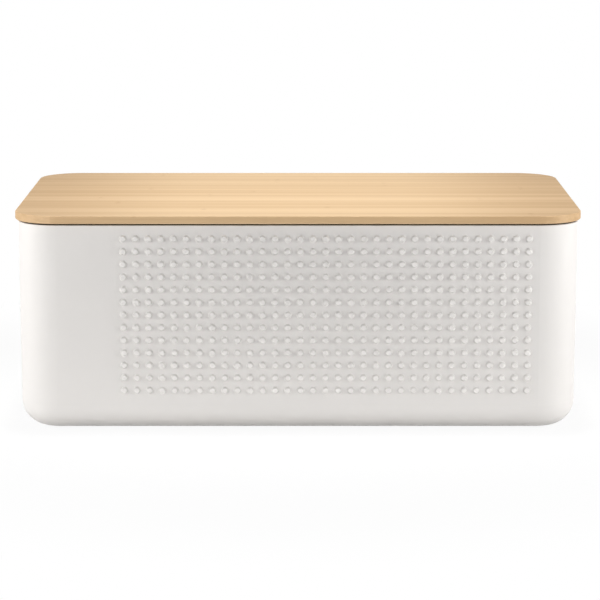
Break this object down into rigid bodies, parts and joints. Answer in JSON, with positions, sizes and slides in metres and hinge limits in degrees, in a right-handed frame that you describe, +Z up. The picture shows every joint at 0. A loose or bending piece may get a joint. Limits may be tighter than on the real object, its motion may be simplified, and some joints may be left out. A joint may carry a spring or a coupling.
{
  "type": "bread box",
  "caption": "Lift-lid bread box: a rounded moulded tub with a studded front on soft feet, closed by a glued bamboo board that drops into its mouth on a soft ring.",
  "frame": {"origin": "centre of the box's plan, on the surface that its feet stand on", "axes": "+X along the length to the right of the studded front, +Y to the back, +Z up"},
  "size_m": [0.39, 0.228, 0.1512],
  "materials": {
    "shell_plastic": "off-white moulded plastic, fine matt texture",
    "bamboo": "pale bamboo, oiled, satin, straight grain along the length",
    "seal_silicone": "matt silicone",
    "foot_silicone": "matt silicone"
  },
  "bodies": {
    "box": {"box_shell": "shell_plastic", "foot_front_left": "foot_silicone", "foot_front_right": "foot_silicone", "foot_back_left": "foot_silicone", "foot_back_right": "foot_silicone"},
    "lid": {"lid_strip_01": "bamboo", "lid_strip_02": "bamboo", "lid_strip_03": "bamboo", "lid_strip_04": "bamboo", "lid_strip_05": "bamboo", "lid_strip_06": "bamboo", "lid_strip_07": "bamboo", "lid_strip_08": "bamboo", "lid_strip_09": "bamboo", "lid_strip_10": "bamboo", "lid_strip_11": "bamboo", "lid_strip_12": "bamboo", "lid_seal": "seal_silicone"}
  },
  "joints": [
    {"name": "lid_lift", "type": "slide", "parent": "box", "child": "lid", "axis": [0, 0, 1], "range_m": [0, 0.18]}
  ]
}
